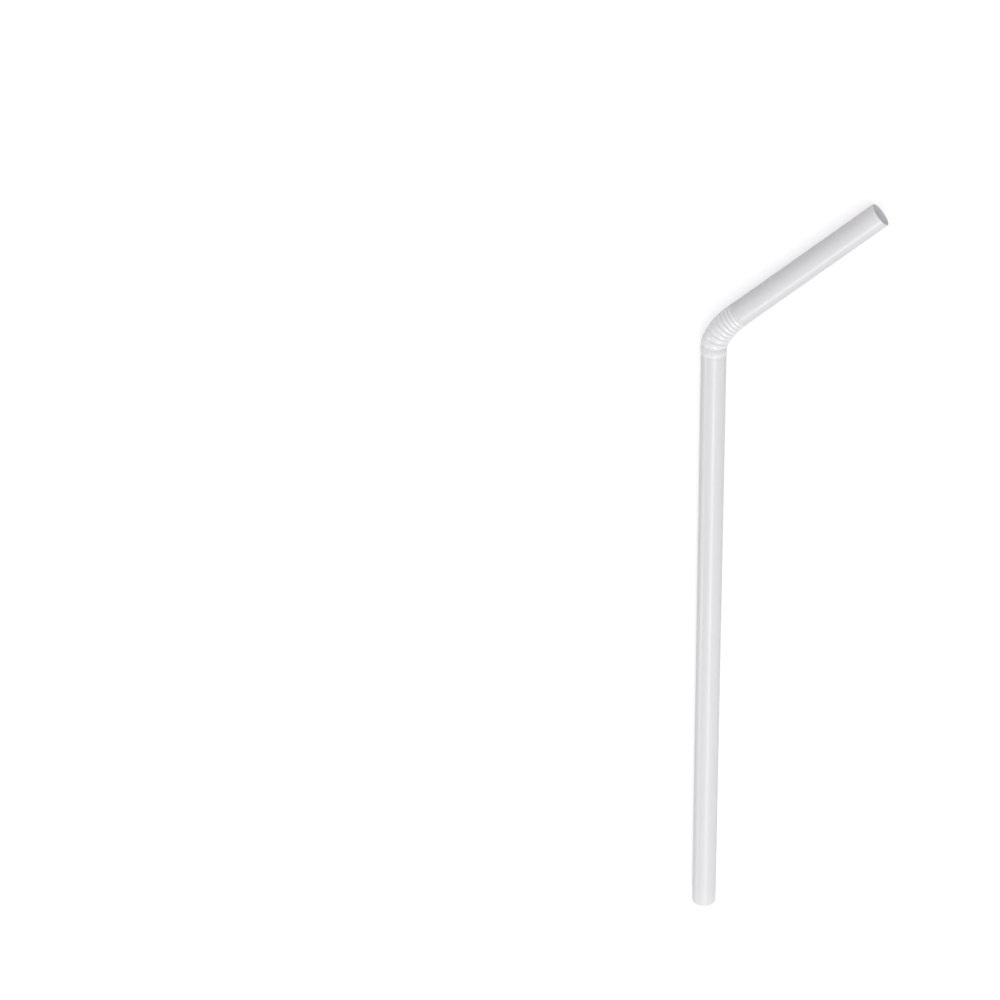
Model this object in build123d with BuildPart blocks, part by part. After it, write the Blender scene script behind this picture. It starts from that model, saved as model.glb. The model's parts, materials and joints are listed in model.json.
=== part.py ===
"""Flexible drinking straw, bent at its pleated elbow and lying on its side.

The whole straw is one thin-walled tube. Its elbow is a bellows of crests and roots, and each pleat
turns the tube a little. A nested pleat is a long flank that slopes down towards the mouth end and a
short flank folded back under the next crest. Inside the bend the pleats stay nested, and outside
the bend they open.
"""

import os
from itertools import accumulate
from math import cos, radians, sin

from build123d import *

# Plain tube, in millimetres
outer_diameter = 5.9
wall = 0.2
leg_length = 160.1
mouth_length = 40.7

# Pleated elbow: each size is the one of the nested, straight bellows
nested_pitch = 0.88
crest_rise = 0.15
root_depth = 0.4
pleat_wall = 0.14
shoulder_length = 0.6
crest_land = 0.1
root_land = 0.05
fold_back = 0.15

# Each pleat from the foot end: the degrees that it turns the straw, and the millimetres by which
# it is also pulled open all round
pleats = (
    (12.5, 0.9),
    (11.0, 0.1),
    (8.0, 0.1),
    (5.5, 0.0),
    (4.5, 0.0),
    (4.5, 0.0),
    (2.5, 0.0),
    (1.0, 0.0),
    (0.5, 0.0),
)

# Radii of the outer skin
tube_radius = outer_diameter / 2
crest_radius = tube_radius + crest_rise
root_radius = tube_radius - root_depth

# The long flank ends past the next crest by the fold back, where the short one returns to it
long_flank = nested_pitch - crest_land - root_land + fold_back

# Each band of the elbow: its length inside the bend, its turn, and the outer radius at its far
# end. Only the flanks turn and open, the short one of a pleat as far as the long one.
bands = [(shoulder_length, 0.0, crest_radius)]
for turn, opening in pleats:
    bands += [
        (crest_land, 0.0, crest_radius),
        (long_flank + opening / 2, turn / 2, root_radius),
        (root_land, 0.0, root_radius),
        (opening / 2 - fold_back, turn / 2, crest_radius),
    ]
bands += [(crest_land, 0.0, crest_radius), (shoulder_length, 0.0, tube_radius)]
headings = list(accumulate((band[1] for band in bands), initial=0.0))


def along(heading, distance):
    """Step of the centre line at a heading, which is turned from +Y towards +X."""
    return Vector(distance * sin(radians(heading)), distance * cos(radians(heading)), 0)


# The centre line as if the foot stood at the origin. A band that turns pivots on the crests inside
# the bend, so the centre line runs longer there by the crest radius times the turn.
centres = [along(0, leg_length)]
for (length, turn, _), start, end in zip(bands, headings, headings[1:]):
    centre_length = length + crest_radius * radians(turn)
    centres.append(centres[-1] + along((start + end) / 2, centre_length))
mouth_heading = headings[-1]
mouth_centre = centres[-1] + along(mouth_heading, mouth_length)
outer_radii = [tube_radius] + [band[2] for band in bands]


def beside(start, end):
    """Line inside a stretch of the nested outline, by the wall of the pleats: a point and its way."""
    way = (end - start).normalized()
    return start + Vector(way.Y, -way.X) * pleat_wall, way


def meeting(first, second):
    """Point where two lines meet."""
    (first_point, first_way), (second_point, second_way) = first, second
    reach = (second_point - first_point).cross(second_way).Z / first_way.cross(second_way).Z
    return first_point + first_way * reach


# Outer outline of one nested pleat, as way along the straw and radius, with both shoulders
next_pleat = Vector(nested_pitch, 0)
foot_shoulder = Vector(-shoulder_length, tube_radius)
crest_start = Vector(0, crest_radius)
crest_end = Vector(crest_land, crest_radius)
root_start = Vector(crest_land + long_flank, root_radius)
root_end = root_start + Vector(root_land, 0)
mouth_shoulder = Vector(crest_land + shoulder_length, tube_radius)

# The inner skin's corners, which lie where the lines inside that outline meet
long_line = beside(crest_end, root_start)
root_line = beside(root_start, root_end)
short_line = beside(root_end, crest_start + next_pleat)
first_crest = meeting(beside(foot_shoulder, crest_start), long_line) - crest_start
inner_root_start = meeting(long_line, root_line) - root_start
inner_root_end = meeting(root_line, short_line) - root_end
inner_crest = meeting(short_line, beside(crest_end + next_pleat, root_start + next_pleat))
last_crest = meeting(short_line, beside(crest_end + next_pleat, mouth_shoulder + next_pleat))
pleat_corners = [inner_root_start, inner_root_end, inner_crest - crest_start - next_pleat]

# Each inner ring: the number of its outer ring, the step on from it, and the radius
inner_corners = [(0, Vector(0, -wall)), (1, first_crest)]
for number in range(len(pleats)):
    outer_rings = (3 + 4 * number, 4 + 4 * number, 5 + 4 * number)
    inner_corners += list(zip(outer_rings, pleat_corners))
inner_corners[-1] = (inner_corners[-1][0], last_crest - crest_start - next_pleat)
inner_corners.append((len(bands), Vector(0, -wall)))

# The extent of all the rings on the floor plane, whose middle becomes the origin
rings = [(Vector(0, 0, 0), 0.0, tube_radius), (mouth_centre, mouth_heading, tube_radius)]
rings += list(zip(centres, headings, outer_radii))
half_widths = [(ring[2] * cos(radians(ring[1])), ring[2] * sin(radians(ring[1]))) for ring in rings]
left = min(ring[0].X - half[0] for ring, half in zip(rings, half_widths))
right = max(ring[0].X + half[0] for ring, half in zip(rings, half_widths))
front = min(ring[0].Y - half[1] for ring, half in zip(rings, half_widths))
back = max(ring[0].Y + half[1] for ring, half in zip(rings, half_widths))
foot_centre = Vector(-(left + right) / 2, -(front + back) / 2, crest_radius)


def across(centre, heading):
    """Plane of a ring square to the centre line, with its normal towards the mouth."""
    return Plane(origin=foot_centre + centre, x_dir=(0, 0, 1), z_dir=along(heading, 1))


foot_plane = across(Vector(0, 0, 0), 0.0)
mouth_start = across(centres[-1], mouth_heading)
outer_elbow = [
    (across(centre, heading), radius)
    for centre, heading, radius in zip(centres, headings, outer_radii)
]
inner_elbow = [
    (across(centres[number] + along(headings[number], step.X), headings[number]),
     outer_radii[number] + step.Y)
    for number, step in inner_corners
]

# Straw: the outer skin is made solid, and the passage is then cut by the same steps
with BuildPart() as straw:
    for elbow, mode in ((outer_elbow, Mode.ADD), (inner_elbow, Mode.SUBTRACT)):
        with BuildSketch(foot_plane):
            Circle(elbow[0][1])
        extrude(amount=leg_length, mode=mode)

        for plane, radius in elbow:
            with BuildSketch(plane):
                Circle(radius)
        loft(ruled=True, mode=mode)

        with BuildSketch(mouth_start):
            Circle(elbow[-1][1])
        extrude(amount=mouth_length, mode=mode)

straw.part.label = "straw"

os.makedirs("parts", exist_ok=True)
export_step(straw.part, "parts/straw.step")
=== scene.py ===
"""Flexible drinking straw on a white table: a bent, thin-walled tube of milky white polypropylene."""

import json
from math import cos, inf, pi, radians, sin
from typing import NamedTuple

import bmesh
import bpy
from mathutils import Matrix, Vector


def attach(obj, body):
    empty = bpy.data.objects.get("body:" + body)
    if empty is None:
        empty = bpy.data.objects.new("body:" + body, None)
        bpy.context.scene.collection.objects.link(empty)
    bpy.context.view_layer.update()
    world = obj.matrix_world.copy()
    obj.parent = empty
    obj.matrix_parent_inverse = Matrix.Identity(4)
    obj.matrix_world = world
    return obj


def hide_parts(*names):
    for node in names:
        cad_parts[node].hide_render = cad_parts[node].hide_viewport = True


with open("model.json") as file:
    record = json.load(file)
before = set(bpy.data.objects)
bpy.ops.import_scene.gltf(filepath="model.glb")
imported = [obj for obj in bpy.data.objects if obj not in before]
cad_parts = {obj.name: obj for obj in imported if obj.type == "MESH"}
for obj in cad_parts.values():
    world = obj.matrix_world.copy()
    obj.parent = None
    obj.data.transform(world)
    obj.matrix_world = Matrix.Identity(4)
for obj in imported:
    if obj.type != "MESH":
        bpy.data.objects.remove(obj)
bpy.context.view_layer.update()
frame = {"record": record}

# The straw's sizes are in millimetres, and places are in metres, as Blender has them
MM = 0.001
UP = Vector((0, 0, 1))

# The plain tube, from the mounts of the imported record
mounts = {mount["name"]: mount for mount in frame["record"]["mounts"]}
FOOT = Vector(mounts["leg_outside"]["pos_m"])
LEG_LENGTH = mounts["leg_outside"]["dims"]["length_mm"]
MOUTH_LENGTH = mounts["mouth_outside"]["dims"]["length_mm"]
TUBE_RADIUS = mounts["leg_outside"]["dims"]["r_mm"]
WALL = TUBE_RADIUS - mounts["foot_bore"]["dims"]["r_mm"]

# Points round each ring, and the close rings at both ends of a plain tube, which keep its shading even
SIDES = 64
RIM_EDGE = 0.05
END_BAND = 0.5

# The pleated elbow, whose crests are the widest rings and touch the table. The shoulder at either
# end of it has a brim just under the crest, and the pleats' wall is a share of the plain tube's
CREST_RADIUS = FOOT.z / MM
CREST_LAND = 0.1
SHOULDER_LENGTH = 0.6
BRIM_LENGTH = 0.16
BRIM_DEPTH = 0.04
PLEAT_WALL_SHARE = 0.7

# Each pleat from the foot end: the degrees that it turns, the length that it is pulled open, the
# share of its depth by which it is pulled flat outside the bend, and how far the bend makes its far
# crest stand out, outside and inside the bend
PLEATS = (
    (12.5, 0.9, 0.8, 0.22, 0.05),
    (11.0, 0.1, 0.7, 0.05, 0.16),
    (8.0, 0.1, 0.55, 0.0, 0.26),
    (5.5, 0.0, 0.4, 0.0, 0.28),
    (4.5, 0.0, 0.3, 0.0, 0.26),
    (4.5, 0.0, 0.3, 0.0, 0.18),
    (2.5, 0.0, 0.15, 0.0, 0.08),
    (1.0, 0.0, 0.0, 0.0, 0.0),
    (0.5, 0.0, 0.0, 0.0, 0.0),
)

# Outline of one nested pleat: the way along the straw, the depth under the crest, and the share of
# the pleat's turn and opening. The short flank is folded back under the next crest
OUTLINE = (
    (CREST_LAND, 0.00, 0.0),
    (0.32, 0.015, 0.12),
    (0.38, 0.075, 0.13),
    (0.18, 0.36, 0.25),
    (0.05, 0.42, 0.0),
    (-0.08, 0.22, 0.25),
    (-0.07, 0.02, 0.25),
)

# A ring's outer part is lifted in equal steps, each of which moves the points beyond one of these
# reaches. A reach is measured from the ring's centre towards the inside of the bend
LIFT_REACHES = (-0.3, -1.2, -2.0)

# The half inside the bend starts just past the centre, so the ring's top and bottom points stay
INNER_HALF = 0.01

# Shallow dents all over the folded skin: how deep and how wide they are
SHALLOW_DENT_DEPTH = 0.12
SHALLOW_DENT_WIDTH = 1.1

# Deeper dents where the skin gave way as the first pleats were bent: the number of the ring, the
# degrees up from the inside of the bend, the depth and the reach
DEEPER_DENTS = (
    (7, 113, 0.16, 0.8),
    (7, 75, 0.10, 0.6),
    (7, 158, 0.10, 0.8),
    (7, 35, 0.08, 0.7),
    (10, 96, 0.08, 0.9),
    (10, 138, 0.12, 0.9),
    (17, 78, 0.07, 0.8),
    (17, 120, 0.09, 0.9),
    (21, 95, 0.08, 0.8),
    (24, 104, 0.06, 0.8),
)

# How much less white the skin is for each millimetre under the crests, which paints shade into the
# creases, and for each millimetre by which its pleat is pulled open
CREASE_PAINTED_SHADE = 0.3
OPEN_FADING = 0.9

# Colours of the plastic in and beside the die's streaks, and of the folds: white from the stress of the
# bend, brightened further as painted highlight
MILKY_DARK = (0.765, 0.758, 0.775, 1)
MILKY_LIGHT = (0.805, 0.798, 0.815, 1)
WHITENED_AND_PAINTED_LIGHT = (0.9, 0.895, 0.905, 1)

# Share of the skin's look that is light from behind the wall, and a streak's width as a share of
# its length
GLOW_SHARE = 0.3
STREAK_WIDTH = 0.012

# Range that most values of a noise texture lie in
NOISE_LOW, NOISE_HIGH = 0.3, 0.7

# The table: its size in metres, its colour, and the glow that makes it full white in the picture
TABLE_SIZE = 6
TABLE_GREY = (0.44, 0.43, 0.45, 1)
TABLE_GLOW = 0.6

# The room's light: its strength all round, its rise towards the brighter side, and the way there
ROOM_STRENGTH = 0.88
ROOM_RISE = 0.66
BRIGHTER_SIDE = (0.45, 0.6, 0.85)


def heading_vector(heading):
    """Way of the centre line at a heading in degrees, turned from +Y towards +X."""
    return Vector((sin(radians(heading)), cos(radians(heading)), 0))


def side_vector(heading):
    """Way from the centre line to the inside of the bend."""
    return Vector((cos(radians(heading)), -sin(radians(heading)), 0))


def between(start, end, share):
    """Value that lies at a share of the way from one to another."""
    return start + (end - start) * share


def deselect_all():
    """Leaves nothing selected, so that an operator acts on one piece alone."""
    for thing in bpy.context.selected_objects:
        thing.select_set(False)


def apply_modifier(piece, kind, **values):
    """Adds a modifier to a piece and applies it at once."""
    modifier = piece.modifiers.new(kind.title(), kind)
    for name, value in values.items():
        setattr(modifier, name, value)
    bpy.ops.object.modifier_apply(modifier=modifier.name)


class Ring(NamedTuple):
    """A ring of the skin: where it lies, bent and straightened, its shape and how white it is, stress
    white and painted light together.
    """

    centre: Vector
    heading: float = 0.0
    straight: float = 0.0
    radius: float = TUBE_RADIUS
    lift: float = 0.0
    swelling: float = 0.0
    whitening_and_painted_light: float = 0.0


class Skin:
    """The straw's outer skin, whose open end is drawn out ring by ring from the foot."""

    def __init__(self, piece):
        self.piece = piece
        self.rings = [Ring(FOOT)]

    def draw_out(self, length, turn=0.0, radius=TUBE_RADIUS, lift=0.0, swelling=0.0, whitening_and_painted_light=0.0):
        """Extrudes the end by a length, turns it about the crests inside the bend and shapes it."""
        last = self.rings[-1]
        way = heading_vector(last.heading + turn / 2)
        step = way * ((length + CREST_RADIUS * radians(turn)) * MM)
        bpy.ops.mesh.extrude_edges_move(TRANSFORM_OT_translate={"value": step})

        # The new end has the last ring's shape, and is made round again before it is turned
        moved = last._replace(centre=last.centre + step)
        self.lift_outer_part(moved, -last.lift)
        self.swell_inner_half(moved, -last.swelling)

        ring = Ring(
            moved.centre, last.heading + turn, last.straight + length,
            radius, lift, swelling, whitening_and_painted_light,
        )
        if turn:
            bpy.ops.transform.rotate(
                value=radians(turn), orient_axis="Z", orient_type="GLOBAL",
                center_override=ring.centre,
            )
        if radius != last.radius:
            growth = radius / last.radius
            bpy.ops.transform.resize(value=(growth, growth, growth), center_override=ring.centre)
        self.lift_outer_part(ring, lift)
        self.swell_inner_half(ring, swelling)
        self.rings.append(ring)

    def draw_plain_tube(self, length):
        """Draws out a plain length, with its close rings at both ends."""
        middle = length - 2 * (RIM_EDGE + END_BAND)
        for part in (RIM_EDGE, END_BAND, middle, END_BAND, RIM_EDGE):
            self.draw_out(part)

    def select_end(self, ring, nearest=-inf, furthest=inf):
        """Selects the points of the end ring that lie between two reaches."""
        mesh = bmesh.from_edit_mesh(self.piece.data)
        mesh.verts.ensure_lookup_table()
        side = side_vector(ring.heading)
        for vertex in mesh.verts[-SIDES:]:
            vertex.select = nearest < (vertex.co - ring.centre).dot(side) / MM < furthest
        mesh.select_flush_mode()
        bmesh.update_edit_mesh(self.piece.data)

    def lift_outer_part(self, ring, lift):
        """Moves the outer part of the end ring outwards by steps, or back by the same steps."""
        if lift:
            step = side_vector(ring.heading) * (-lift * MM / len(LIFT_REACHES))
            for reach in LIFT_REACHES if lift > 0 else reversed(LIFT_REACHES):
                self.select_end(ring, furthest=reach)
                bpy.ops.transform.translate(value=step)
            self.select_end(ring)

    def swell_inner_half(self, ring, swelling):
        """Widens the half of the end ring inside the bend, or narrows it again by as much."""
        if swelling:
            factor = 1 + abs(swelling) / ring.radius
            if swelling < 0:
                factor = 1 / factor
            self.select_end(ring, nearest=INNER_HALF)
            bpy.ops.transform.resize(value=(factor, factor, 1), center_override=ring.centre)
            self.select_end(ring)

    def press_dent(self, number, angle, depth, reach):
        """Presses the skin in round the point of a ring at an angle up from the inside of the bend."""
        ring = self.rings[number]
        outwards = side_vector(ring.heading) * cos(radians(angle)) + UP * sin(radians(angle))
        place = ring.centre + outwards * (ring.radius * MM)
        bpy.ops.mesh.select_all(action="DESELECT")
        mesh = bmesh.from_edit_mesh(self.piece.data)
        mesh.verts.ensure_lookup_table()
        ring_points = mesh.verts[number * SIDES:(number + 1) * SIDES]
        nearest = min(ring_points, key=lambda point: (point.co - place).length)
        nearest.select = True
        bmesh.update_edit_mesh(self.piece.data)
        bpy.ops.transform.translate(
            value=outwards * (-depth * MM), use_proportional_edit=True,
            proportional_edit_falloff="SMOOTH", proportional_size=reach * MM,
        )


def draw_elbow(skin):
    """Draws out the elbow: a shoulder, the pleats and another shoulder."""
    skin.draw_out(SHOULDER_LENGTH - BRIM_LENGTH, radius=CREST_RADIUS - BRIM_DEPTH)
    skin.draw_out(BRIM_LENGTH, radius=CREST_RADIUS, whitening_and_painted_light=1.0)
    outside, inside = 0.0, 0.0
    for turn, opening, flatness, far_outside, far_inside in PLEATS:
        done = 0.0
        for length, depth, share in OUTLINE:
            done += share

            # A pulled-open pleat is stretched most half way between its crests, and fades there
            stretch = opening * 4 * done * (1 - done)
            # The skin is whitest at the crests and less white down the creases, which paints shade into
            # them
            skin.draw_out(
                length + opening * share,
                turn * share,
                CREST_RADIUS - depth,
                lift=depth * flatness + between(outside, far_outside, done),
                swelling=between(inside, far_inside, done),
                whitening_and_painted_light=(1 - CREASE_PAINTED_SHADE * depth) * (1 - OPEN_FADING * stretch),
            )
        outside, inside = far_outside, far_inside
    skin.draw_out(CREST_LAND, radius=CREST_RADIUS, whitening_and_painted_light=1.0)
    skin.draw_out(BRIM_LENGTH, radius=CREST_RADIUS - BRIM_DEPTH)
    skin.draw_out(SHOULDER_LENGTH - BRIM_LENGTH)


def straw_mesh():
    """The straw's outer skin, drawn out ring by ring and dented, with its wall and rounded folds."""
    deselect_all()
    bpy.ops.mesh.primitive_circle_add(
        vertices=SIDES, radius=TUBE_RADIUS * MM, location=FOOT, rotation=(-pi / 2, 0, 0)
    )
    straw = bpy.context.object
    straw.name = straw.data.name = "straw_tube"
    bpy.ops.object.transform_apply(location=True, rotation=True, scale=True)

    bpy.ops.object.mode_set(mode="EDIT")
    bpy.ops.mesh.select_all(action="SELECT")
    skin = Skin(straw)
    skin.draw_plain_tube(LEG_LENGTH)
    draw_elbow(skin)
    skin.draw_plain_tube(MOUTH_LENGTH)
    for dent in DEEPER_DENTS:
        skin.press_dent(*dent)
    bpy.ops.object.mode_set(mode="OBJECT")
    mark_points(straw, skin.rings)
    dent_folds(straw)

    apply_modifier(
        straw, "SOLIDIFY", thickness=WALL * MM, offset=-1.0,
        vertex_group="wall", thickness_vertex_group=0.0,
    )
    apply_modifier(straw, "SUBSURF", levels=1, render_levels=1)
    bpy.ops.object.shade_smooth()
    return straw


def mark_points(straw, rings):
    """Marks each point's place on the straightened straw, how white the folds and the painted light make
    it, and its wall.
    """
    places, whitening_and_painted_light_values = [], []
    wall = straw.vertex_groups.new(name="wall")
    folded_skin = straw.vertex_groups.new(name="folded_skin")
    for index in range(len(straw.data.vertices)):
        ring = rings[index // SIDES]
        angle = index % SIDES / SIDES * 2 * pi
        radius = ring.radius * MM
        places += (radius * cos(angle), radius * sin(angle), ring.straight * MM)
        whitening_and_painted_light_values.append(ring.whitening_and_painted_light)
        wall.add([index], PLEAT_WALL_SHARE if ring.whitening_and_painted_light else 1.0, "REPLACE")
        if ring.whitening_and_painted_light:
            folded_skin.add([index], 1.0, "REPLACE")
    marks = straw.data.attributes
    marks.new("straightened", "FLOAT_VECTOR", "POINT").data.foreach_set("vector", places)
    marks.new("whitening_and_painted_light", "FLOAT", "POINT").data.foreach_set("value", whitening_and_painted_light_values)


def dent_folds(straw):
    """Dents the folded skin inwards a little, as handling and bending leave it."""
    dents = bpy.data.textures.new("dents", "CLOUDS")
    dents.noise_scale = SHALLOW_DENT_WIDTH * MM
    dents.noise_depth = 1
    apply_modifier(
        straw, "DISPLACE", texture=dents, texture_coords="LOCAL", mid_level=1.0,
        strength=SHALLOW_DENT_DEPTH * MM, vertex_group="folded_skin",
    )


def empty_tree(owner):
    """The nodes and links of a material or world, with nothing in them."""
    owner.use_nodes = True
    owner.node_tree.nodes.clear()
    return owner.node_tree.nodes, owner.node_tree.links


def spread_noise(nodes, links, noise, low, high):
    """The values of a noise texture, spread from a low one to a high one."""
    spread = nodes.new("ShaderNodeMapRange")
    spread.inputs["From Min"].default_value = NOISE_LOW
    spread.inputs["From Max"].default_value = NOISE_HIGH
    spread.inputs["To Min"].default_value = low
    spread.inputs["To Max"].default_value = high
    links.new(noise.outputs["Fac"], spread.inputs["Value"])
    return spread.outputs[0]


def straw_material():
    """Milky white polypropylene, drawn lengthwise, with whiter folds: stress white, painted highlight and
    painted crease shade.
    """
    material = bpy.data.materials.new("milky_polypropylene")
    nodes, links = empty_tree(material)
    output = nodes.new("ShaderNodeOutputMaterial")
    plastic = nodes.new("ShaderNodeBsdfPrincipled")
    plastic.inputs["IOR"].default_value = 1.49
    plastic.inputs["Coat Roughness"].default_value = 0.28
    plastic.inputs["Coat IOR"].default_value = 1.7
    glow_through = nodes.new("ShaderNodeBsdfTranslucent")
    wall = nodes.new("ShaderNodeMixShader")
    wall.inputs[0].default_value = GLOW_SHARE
    links.new(plastic.outputs[0], wall.inputs[1])
    links.new(glow_through.outputs[0], wall.inputs[2])
    links.new(wall.outputs[0], output.inputs["Surface"])

    # Fine streaks along the tube, as the die leaves them
    straightened = nodes.new("ShaderNodeAttribute")
    straightened.attribute_name = "straightened"
    drawn = nodes.new("ShaderNodeMapping")
    drawn.inputs["Scale"].default_value = (1, 1, STREAK_WIDTH)
    streaks = nodes.new("ShaderNodeTexNoise")
    streaks.inputs["Scale"].default_value = 1700
    streaks.inputs["Detail"].default_value = 3
    links.new(straightened.outputs["Vector"], drawn.inputs["Vector"])
    links.new(drawn.outputs[0], streaks.inputs["Vector"])

    # Cloudy unevenness of the milky plastic
    object_place = nodes.new("ShaderNodeTexCoord")
    clouds = nodes.new("ShaderNodeTexNoise")
    clouds.inputs["Scale"].default_value = 500
    clouds.inputs["Detail"].default_value = 4
    links.new(object_place.outputs["Object"], clouds.inputs["Vector"])

    # Folds whiten the pleats, crests most, in blotches, and are glossier. This white also paints
    # highlight on the pleats, and paints shade where it is less, down the creases
    folds_and_painted_light = nodes.new("ShaderNodeAttribute")
    folds_and_painted_light.attribute_name = "whitening_and_painted_light"
    whiteness_and_painted_light = nodes.new("ShaderNodeMath")
    whiteness_and_painted_light.operation = "MULTIPLY"
    whiteness_and_painted_light.use_clamp = True
    links.new(folds_and_painted_light.outputs["Fac"], whiteness_and_painted_light.inputs[0])
    links.new(spread_noise(nodes, links, clouds, low=0.75, high=1.1), whiteness_and_painted_light.inputs[1])
    links.new(whiteness_and_painted_light.outputs[0], plastic.inputs["Coat Weight"])

    # The colour of the streaks, under the white of the folds with its painted highlight and painted
    # crease shade
    milky = nodes.new("ShaderNodeMix")
    milky.data_type = "RGBA"
    milky.inputs["A"].default_value = MILKY_DARK
    milky.inputs["B"].default_value = MILKY_LIGHT
    links.new(streaks.outputs["Fac"], milky.inputs["Factor"])
    whitened_and_painted_light = nodes.new("ShaderNodeMix")
    whitened_and_painted_light.data_type = "RGBA"
    whitened_and_painted_light.inputs["B"].default_value = WHITENED_AND_PAINTED_LIGHT
    links.new(whiteness_and_painted_light.outputs[0], whitened_and_painted_light.inputs["Factor"])
    links.new(milky.outputs["Result"], whitened_and_painted_light.inputs["A"])
    links.new(whitened_and_painted_light.outputs["Result"], plastic.inputs["Base Color"])
    links.new(whitened_and_painted_light.outputs["Result"], glow_through.inputs["Color"])

    # The streaks change the sheen, and they and the clouds leave the skin a little uneven
    sheen = spread_noise(nodes, links, streaks, low=0.27, high=0.38)
    links.new(sheen, plastic.inputs["Roughness"])
    streak_bump = nodes.new("ShaderNodeBump")
    streak_bump.inputs["Strength"].default_value = 0.35
    streak_bump.inputs["Distance"].default_value = 0.02 * MM
    links.new(streaks.outputs["Fac"], streak_bump.inputs["Height"])
    cloud_bump = nodes.new("ShaderNodeBump")
    cloud_bump.inputs["Strength"].default_value = 0.25
    cloud_bump.inputs["Distance"].default_value = 0.06 * MM
    links.new(clouds.outputs["Fac"], cloud_bump.inputs["Height"])
    links.new(streak_bump.outputs[0], cloud_bump.inputs["Normal"])
    links.new(cloud_bump.outputs[0], plastic.inputs["Normal"])
    return material


def show_where_seen(nodes, links, hidden, shown):
    """Shows one shader to the camera, in reflections and through clear plastic, and another elsewhere."""
    path = nodes.new("ShaderNodeLightPath")
    seen = path.outputs["Is Camera Ray"]
    for kind in ("Is Glossy Ray", "Is Transmission Ray"):
        either = nodes.new("ShaderNodeMath")
        either.operation = "MAXIMUM"
        links.new(seen, either.inputs[0])
        links.new(path.outputs[kind], either.inputs[1])
        seen = either.outputs[0]
    choice = nodes.new("ShaderNodeMixShader")
    links.new(seen, choice.inputs[0])
    links.new(hidden.outputs[0], choice.inputs[1])
    links.new(shown.outputs[0], choice.inputs[2])
    return choice.outputs[0]


def lay_table():
    """A white table top that goes to full white in the picture and keeps the straw's soft shadow."""
    deselect_all()
    bpy.ops.mesh.primitive_plane_add(size=TABLE_SIZE)
    table = bpy.context.object
    table.name = "table_top"

    material = bpy.data.materials.new("white_table")
    nodes, links = empty_tree(material)
    output = nodes.new("ShaderNodeOutputMaterial")
    paper = nodes.new("ShaderNodeBsdfDiffuse")
    paper.inputs["Color"].default_value = TABLE_GREY
    white = nodes.new("ShaderNodeEmission")
    white.inputs["Strength"].default_value = TABLE_GLOW
    lit_white = nodes.new("ShaderNodeAddShader")
    links.new(paper.outputs[0], lit_white.inputs[0])
    links.new(white.outputs[0], lit_white.inputs[1])
    links.new(show_where_seen(nodes, links, paper, lit_white), output.inputs["Surface"])
    table.data.materials.append(material)


def add_softbox(name, place, width, height, energy):
    """A rectangular area lamp that looks at the straw."""
    lamp = bpy.data.lights.new(name, "AREA")
    lamp.shape, lamp.size, lamp.size_y, lamp.energy = "RECTANGLE", width, height, energy
    softbox = bpy.data.objects.new(name, lamp)
    bpy.context.scene.collection.objects.link(softbox)
    softbox.location = place
    softbox.rotation_euler = (-Vector(place)).to_track_quat("-Z", "Y").to_euler()


def light_room():
    """A pale room, brighter overhead on the mouth's side, white where it is seen, and the softboxes."""
    world = bpy.data.worlds.new("pale_room")
    bpy.context.scene.world = world
    nodes, links = empty_tree(world)
    output = nodes.new("ShaderNodeOutputWorld")
    way = nodes.new("ShaderNodeTexCoord")
    brightening = nodes.new("ShaderNodeVectorMath")
    brightening.operation = "DOT_PRODUCT"
    brightening.inputs[1].default_value = BRIGHTER_SIDE
    brighter_half = nodes.new("ShaderNodeMath")
    brighter_half.operation = "MAXIMUM"
    brighter_half.inputs[1].default_value = 0.0
    strength = nodes.new("ShaderNodeMath")
    strength.operation = "MULTIPLY_ADD"
    strength.inputs[1].default_value = ROOM_RISE
    strength.inputs[2].default_value = ROOM_STRENGTH
    room = nodes.new("ShaderNodeBackground")
    links.new(way.outputs["Generated"], brightening.inputs[0])
    links.new(brightening.outputs["Value"], brighter_half.inputs[0])
    links.new(brighter_half.outputs[0], strength.inputs[0])
    links.new(strength.outputs[0], room.inputs["Strength"])
    backdrop = nodes.new("ShaderNodeBackground")
    links.new(show_where_seen(nodes, links, room, backdrop), output.inputs["Surface"])

    add_softbox("key_softbox", (0.115, -0.5, 0.85), width=0.15, height=0.36, energy=3.0)
    add_softbox("left_softbox", (-0.95, -0.65, 0.2), width=0.22, height=0.3, energy=1.8)


def place_camera():
    """A long lens above the mouth's side of the table, whose picture has the long leg upright."""
    camera_data = bpy.data.cameras.new("camera")
    camera_data.sensor_width = 36
    camera_data.lens = 145.76
    camera = bpy.data.objects.new("camera", camera_data)
    bpy.context.scene.collection.objects.link(camera)
    camera.location = (-0.0261, 0.5394, 0.8107)
    camera.rotation_mode = "ZYX"
    camera.rotation_euler = (radians(-32.774), radians(2.5), radians(0.734))
    bpy.context.scene.camera = camera


place_camera()
straw = straw_mesh()
straw.data.materials.append(straw_material())
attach(straw, "root")
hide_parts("straw")
lay_table()
light_room()
bpy.context.scene.view_settings.view_transform = "Standard"
